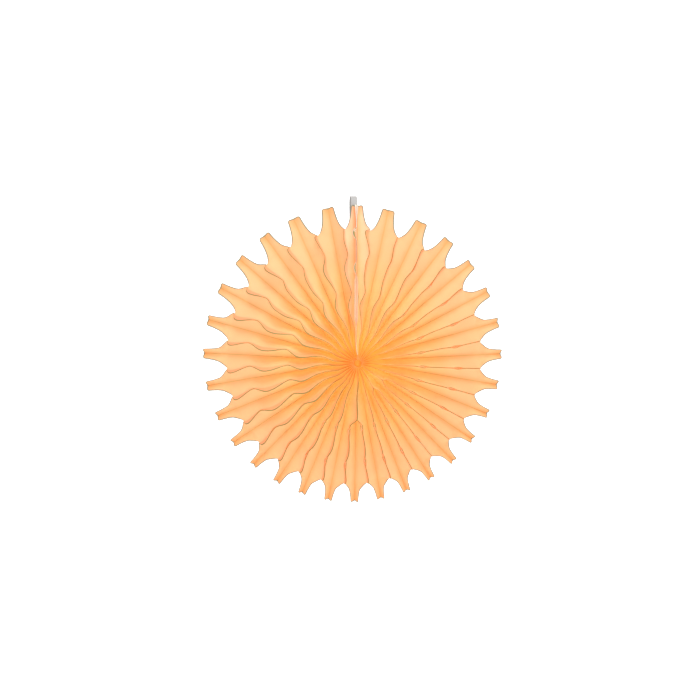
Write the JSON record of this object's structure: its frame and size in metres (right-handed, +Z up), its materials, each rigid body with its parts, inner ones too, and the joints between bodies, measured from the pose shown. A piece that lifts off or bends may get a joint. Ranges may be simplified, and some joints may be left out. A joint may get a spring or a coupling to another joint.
{
  "type": "paper fan rosette",
  "caption": "Round hanging paper rosette of folded tissue leaves glued along wavy edges, with square-ended teeth, two end cards in the seam and a ribbon loop.",
  "frame": {"origin": "top of the eye of the hanging ribbon, where a hook or a thread carries the fan", "axes": "+Z up, -Y the front with the glued wavy edges, +X to the right seen from the front"},
  "size_m": [0.4822, 0.0383, 0.4964],
  "materials": {
    "tissue": "thin apricot tissue, translucent and matte",
    "card": "pale uncoated card",
    "binding": "tissue edges soaked with dry glue",
    "ribbon": "flat grey-white woven ribbon"
  },
  "bodies": {
    "root": {"leaf_01": "tissue", "leaf_02": "tissue", "leaf_03": "tissue", "leaf_04": "tissue", "leaf_05": "tissue", "leaf_06": "tissue", "leaf_07": "tissue", "leaf_08": "tissue", "leaf_09": "tissue", "leaf_10": "tissue", "leaf_11": "tissue", "leaf_12": "tissue", "leaf_13": "tissue", "leaf_14": "tissue", "leaf_15": "tissue", "leaf_16": "tissue", "leaf_17": "tissue", "leaf_18": "tissue", "leaf_19": "tissue", "leaf_20": "tissue", "leaf_21": "tissue", "leaf_22": "tissue", "leaf_23": "tissue", "leaf_24": "tissue", "leaf_25": "tissue", "leaf_26": "tissue", "leaf_27": "tissue", "leaf_28": "tissue", "leaf_29": "tissue", "seam_leaf_left": "tissue", "seam_leaf_right": "tissue", "end_card_left": "card", "end_card_right": "card", "hub_binding": "binding", "hanging_ribbon": "ribbon"}
  },
  "joints": []
}
